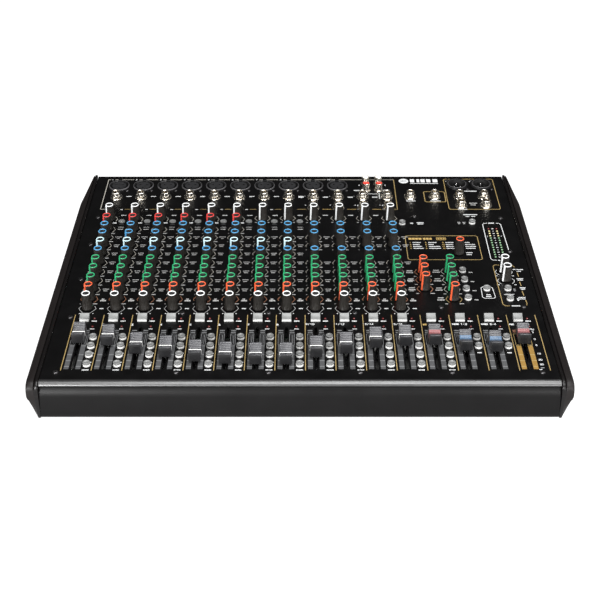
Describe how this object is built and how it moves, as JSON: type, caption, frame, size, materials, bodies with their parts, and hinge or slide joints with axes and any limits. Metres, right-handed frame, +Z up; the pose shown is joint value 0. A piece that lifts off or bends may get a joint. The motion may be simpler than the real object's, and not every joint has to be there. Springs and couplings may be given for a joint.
{
  "type": "mixing console",
  "caption": "Compact sloping audio mixing console: channel strips of rotary controls, mute keys and sliding faders, connector rows along the back, end cheeks and rubber feet.",
  "frame": {"origin": "centre of the bounding box in plan, on the plane that the feet stand on", "axes": "+X to the operator's right along the width, +Y away from the operator, +Z up"},
  "size_m": [0.478, 0.3782, 0.1003],
  "materials": {
    "panel": "fine matt powder coat with screened print",
    "case_steel": "satin powder coat",
    "cheek": "satin moulded",
    "knob": "moulded, ribbed, matt",
    "fader_cap": "moulded, satin",
    "key": "moulded light grey, satin",
    "connector_metal": "bright nickel plate",
    "connector_plastic": "moulded black",
    "supply_can": "bare sheet",
    "foot_rubber": "matt"
  },
  "bodies": {
    "console": {"top_panel": "panel", "base_tray": "case_steel", "front_rail": "case_steel", "left_cheek": "cheek", "right_cheek": "cheek", "foot_front_left": "foot_rubber", "foot_front_right": "foot_rubber", "foot_rear_left": "foot_rubber", "foot_rear_right": "foot_rubber", "power_supply": "supply_can", "mains_module": "connector_plastic", "xlr_input_board": "connector_plastic", "jack_board": "connector_metal", "rotary_control_board": "knob", "fader_board": "key"},
    "effects_encoder": {"effects_encoder_knob": "knob"},
    "rocker": {"power_rocker": "connector_plastic"},
    "channel_1_gain": {"channel_1_gain_knob": "knob"},
    "channel_1_compressor": {"channel_1_compressor_knob": "knob"},
    "channel_1_eq_high": {"channel_1_eq_high_knob": "knob"},
    "channel_1_eq_mid": {"channel_1_eq_mid_knob": "knob"},
    "channel_1_eq_mid_frequency": {"channel_1_eq_mid_frequency_knob": "knob"},
    "channel_1_eq_low": {"channel_1_eq_low_knob": "knob"},
    "channel_1_aux_1": {"channel_1_aux_1_knob": "knob"},
    "channel_1_pan": {"channel_1_pan_knob": "knob"},
    "control_room_level": {"control_room_level_knob": "knob"},
    "channel_1_assign": {"channel_1_assign_button": "key"},
    "channel_1_low_cut": {"channel_1_low_cut_button": "key"},
    "slider_channel_1": {"fader_channel_1": "fader_cap"},
    "slider_channel_2": {"fader_channel_2": "fader_cap"},
    "slider_channel_3": {"fader_channel_3": "fader_cap"},
    "slider_channel_4": {"fader_channel_4": "fader_cap"},
    "slider_channel_5": {"fader_channel_5": "fader_cap"},
    "slider_channel_6": {"fader_channel_6": "fader_cap"},
    "slider_channel_7": {"fader_channel_7": "fader_cap"},
    "slider_channel_8": {"fader_channel_8": "fader_cap"},
    "slider_channel_9_10": {"fader_channel_9_10": "fader_cap"},
    "slider_channel_11_12": {"fader_channel_11_12": "fader_cap"},
    "slider_channel_13_14": {"fader_channel_13_14": "fader_cap"},
    "slider_channel_15_16": {"fader_channel_15_16": "fader_cap"},
    "slider_effects": {"fader_effects": "fader_cap"},
    "slider_bus_1_2": {"fader_bus_1_2": "fader_cap"},
    "slider_bus_3_4": {"fader_bus_3_4": "fader_cap"},
    "slider_main": {"fader_main": "fader_cap"},
    "mute_channel_1": {"mute_key_channel_1": "key"},
    "mute_channel_2": {"mute_key_channel_2": "key"},
    "mute_channel_3": {"mute_key_channel_3": "key"},
    "mute_channel_4": {"mute_key_channel_4": "key"},
    "mute_channel_5": {"mute_key_channel_5": "key"},
    "mute_channel_6": {"mute_key_channel_6": "key"},
    "mute_channel_7": {"mute_key_channel_7": "key"},
    "mute_channel_8": {"mute_key_channel_8": "key"},
    "mute_channel_9_10": {"mute_key_channel_9_10": "key"},
    "mute_channel_11_12": {"mute_key_channel_11_12": "key"},
    "mute_channel_13_14": {"mute_key_channel_13_14": "key"},
    "mute_channel_15_16": {"mute_key_channel_15_16": "key"},
    "mute_effects": {"mute_key_effects": "key"},
    "mute_bus_1_2": {"mute_key_bus_1_2": "key"},
    "mute_bus_3_4": {"mute_key_bus_3_4": "key"},
    "mute_main": {"mute_key_main": "key"}
  },
  "joints": [
    {"name": "effects_encoder_turn", "type": "hinge", "parent": "console", "child": "effects_encoder", "pos_m": [0.1615, 0.02508, 0.07023], "axis": [0, 0.1392, -0.9903], "continuous": true},
    {"name": "power_rocker_tilt", "type": "hinge", "parent": "console", "child": "rocker", "pos_m": [-0.1435, 0.18365, 0.038], "axis": [1, 0, 0], "range_deg": [0, 12.6]},
    {"name": "channel_1_gain_turn", "type": "hinge", "parent": "console", "child": "channel_1_gain", "pos_m": [-0.2015, 0.09351, 0.07985], "axis": [0, 0.1392, -0.9903], "range_deg": [0, 270]},
    {"name": "channel_1_compressor_turn", "type": "hinge", "parent": "console", "child": "channel_1_compressor", "pos_m": [-0.2015, 0.07222, 0.07686], "axis": [0, 0.1392, -0.9903], "range_deg": [0, 270]},
    {"name": "channel_1_eq_high_turn", "type": "hinge", "parent": "console", "child": "channel_1_eq_high", "pos_m": [-0.2015, 0.05588, 0.07456], "axis": [0, 0.1392, -0.9903], "range_deg": [-135, 135]},
    {"name": "channel_1_eq_mid_turn", "type": "hinge", "parent": "console", "child": "channel_1_eq_mid", "pos_m": [-0.2015, 0.04003, 0.07233], "axis": [0, 0.1392, -0.9903], "range_deg": [-135, 135]},
    {"name": "channel_1_eq_mid_frequency_turn", "type": "hinge", "parent": "console", "child": "channel_1_eq_mid_frequency", "pos_m": [-0.2015, 0.02419, 0.07011], "axis": [0, 0.1392, -0.9903], "range_deg": [0, 270]},
    {"name": "channel_1_eq_low_turn", "type": "hinge", "parent": "console", "child": "channel_1_eq_low", "pos_m": [-0.2015, 0.00735, 0.06774], "axis": [0, 0.1392, -0.9903], "range_deg": [-135, 135]},
    {"name": "channel_1_aux_1_turn", "type": "hinge", "parent": "console", "child": "channel_1_aux_1", "pos_m": [-0.2015, -0.00899, 0.06544], "axis": [0, 0.1392, -0.9903], "range_deg": [0, 270]},
    {"name": "channel_1_pan_turn", "type": "hinge", "parent": "console", "child": "channel_1_pan", "pos_m": [-0.2015, -0.07286, 0.05647], "axis": [0, 0.1392, -0.9903], "range_deg": [-135, 135]},
    {"name": "control_room_level_turn", "type": "hinge", "parent": "console", "child": "control_room_level", "pos_m": [0.2022, -0.02374, 0.06337], "axis": [0, 0.1392, -0.9903], "range_deg": [0, 270]},
    {"name": "channel_1_assign_press", "type": "slide", "parent": "console", "child": "channel_1_assign", "axis": [0, 0.1392, -0.9903], "range_m": [0, 0.0015], "stiffness_N_per_m": 600},
    {"name": "channel_1_low_cut_press", "type": "slide", "parent": "console", "child": "channel_1_low_cut", "axis": [0, 0.1392, -0.9903], "range_m": [0, 0.0015], "stiffness_N_per_m": 600},
    {"name": "fader_channel_1_travel", "type": "slide", "parent": "console", "child": "slider_channel_1", "axis": [0, 0.9903, 0.1392], "range_m": [-0.04335, 0.01665]},
    {"name": "fader_channel_2_travel", "type": "slide", "parent": "console", "child": "slider_channel_2", "axis": [0, 0.9903, 0.1392], "range_m": [-0.03965, 0.02035]},
    {"name": "fader_channel_3_travel", "type": "slide", "parent": "console", "child": "slider_channel_3", "axis": [0, 0.9903, 0.1392], "range_m": [-0.02735, 0.03265]},
    {"name": "fader_channel_4_travel", "type": "slide", "parent": "console", "child": "slider_channel_4", "axis": [0, 0.9903, 0.1392], "range_m": [-0.02205, 0.03795]},
    {"name": "fader_channel_5_travel", "type": "slide", "parent": "console", "child": "slider_channel_5", "axis": [0, 0.9903, 0.1392], "range_m": [-0.01575, 0.04425]},
    {"name": "fader_channel_6_travel", "type": "slide", "parent": "console", "child": "slider_channel_6", "axis": [0, 0.9903, 0.1392], "range_m": [-0.01255, 0.04745]},
    {"name": "fader_channel_7_travel", "type": "slide", "parent": "console", "child": "slider_channel_7", "axis": [0, 0.9903, 0.1392], "range_m": [-0.01145, 0.04855]},
    {"name": "fader_channel_8_travel", "type": "slide", "parent": "console", "child": "slider_channel_8", "axis": [0, 0.9903, 0.1392], "range_m": [-0.01145, 0.04855]},
    {"name": "fader_channel_9_10_travel", "type": "slide", "parent": "console", "child": "slider_channel_9_10", "axis": [0, 0.9903, 0.1392], "range_m": [-0.02185, 0.03815]},
    {"name": "fader_channel_11_12_travel", "type": "slide", "parent": "console", "child": "slider_channel_11_12", "axis": [0, 0.9903, 0.1392], "range_m": [-0.02745, 0.03255]},
    {"name": "fader_channel_13_14_travel", "type": "slide", "parent": "console", "child": "slider_channel_13_14", "axis": [0, 0.9903, 0.1392], "range_m": [-0.03585, 0.02415]},
    {"name": "fader_channel_15_16_travel", "type": "slide", "parent": "console", "child": "slider_channel_15_16", "axis": [0, 0.9903, 0.1392], "range_m": [-0.03885, 0.02115]},
    {"name": "fader_effects_travel", "type": "slide", "parent": "console", "child": "slider_effects", "axis": [0, 0.9903, 0.1392], "range_m": [-0.04045, 0.01955]},
    {"name": "fader_bus_1_2_travel", "type": "slide", "parent": "console", "child": "slider_bus_1_2", "axis": [0, 0.9903, 0.1392], "range_m": [-0.03185, 0.02815]},
    {"name": "fader_bus_3_4_travel", "type": "slide", "parent": "console", "child": "slider_bus_3_4", "axis": [0, 0.9903, 0.1392], "range_m": [-0.03025, 0.02975]},
    {"name": "fader_main_travel", "type": "slide", "parent": "console", "child": "slider_main", "axis": [0, 0.9903, 0.1392], "range_m": [-0.04215, 0.01785]},
    {"name": "mute_channel_1_press", "type": "slide", "parent": "console", "child": "mute_channel_1", "axis": [0, 0.1392, -0.9903], "range_m": [0, 0.0016], "stiffness_N_per_m": 600},
    {"name": "mute_channel_2_press", "type": "slide", "parent": "console", "child": "mute_channel_2", "axis": [0, 0.1392, -0.9903], "range_m": [0, 0.0016], "stiffness_N_per_m": 600},
    {"name": "mute_channel_3_press", "type": "slide", "parent": "console", "child": "mute_channel_3", "axis": [0, 0.1392, -0.9903], "range_m": [0, 0.0016], "stiffness_N_per_m": 600},
    {"name": "mute_channel_4_press", "type": "slide", "parent": "console", "child": "mute_channel_4", "axis": [0, 0.1392, -0.9903], "range_m": [0, 0.0016], "stiffness_N_per_m": 600},
    {"name": "mute_channel_5_press", "type": "slide", "parent": "console", "child": "mute_channel_5", "axis": [0, 0.1392, -0.9903], "range_m": [0, 0.0016], "stiffness_N_per_m": 600},
    {"name": "mute_channel_6_press", "type": "slide", "parent": "console", "child": "mute_channel_6", "axis": [0, 0.1392, -0.9903], "range_m": [0, 0.0016], "stiffness_N_per_m": 600},
    {"name": "mute_channel_7_press", "type": "slide", "parent": "console", "child": "mute_channel_7", "axis": [0, 0.1392, -0.9903], "range_m": [0, 0.0016], "stiffness_N_per_m": 600},
    {"name": "mute_channel_8_press", "type": "slide", "parent": "console", "child": "mute_channel_8", "axis": [0, 0.1392, -0.9903], "range_m": [0, 0.0016], "stiffness_N_per_m": 600},
    {"name": "mute_channel_9_10_press", "type": "slide", "parent": "console", "child": "mute_channel_9_10", "axis": [0, 0.1392, -0.9903], "range_m": [0, 0.0016], "stiffness_N_per_m": 600},
    {"name": "mute_channel_11_12_press", "type": "slide", "parent": "console", "child": "mute_channel_11_12", "axis": [0, 0.1392, -0.9903], "range_m": [0, 0.0016], "stiffness_N_per_m": 600},
    {"name": "mute_channel_13_14_press", "type": "slide", "parent": "console", "child": "mute_channel_13_14", "axis": [0, 0.1392, -0.9903], "range_m": [0, 0.0016], "stiffness_N_per_m": 600},
    {"name": "mute_channel_15_16_press", "type": "slide", "parent": "console", "child": "mute_channel_15_16", "axis": [0, 0.1392, -0.9903], "range_m": [0, 0.0016], "stiffness_N_per_m": 600},
    {"name": "mute_effects_press", "type": "slide", "parent": "console", "child": "mute_effects", "axis": [0, 0.1392, -0.9903], "range_m": [0, 0.0016], "stiffness_N_per_m": 600},
    {"name": "mute_bus_1_2_press", "type": "slide", "parent": "console", "child": "mute_bus_1_2", "axis": [0, 0.1392, -0.9903], "range_m": [0, 0.0016], "stiffness_N_per_m": 600},
    {"name": "mute_bus_3_4_press", "type": "slide", "parent": "console", "child": "mute_bus_3_4", "axis": [0, 0.1392, -0.9903], "range_m": [0, 0.0016], "stiffness_N_per_m": 600},
    {"name": "mute_main_press", "type": "slide", "parent": "console", "child": "mute_main", "axis": [0, 0.1392, -0.9903], "range_m": [0, 0.0016], "stiffness_N_per_m": 600}
  ]
}
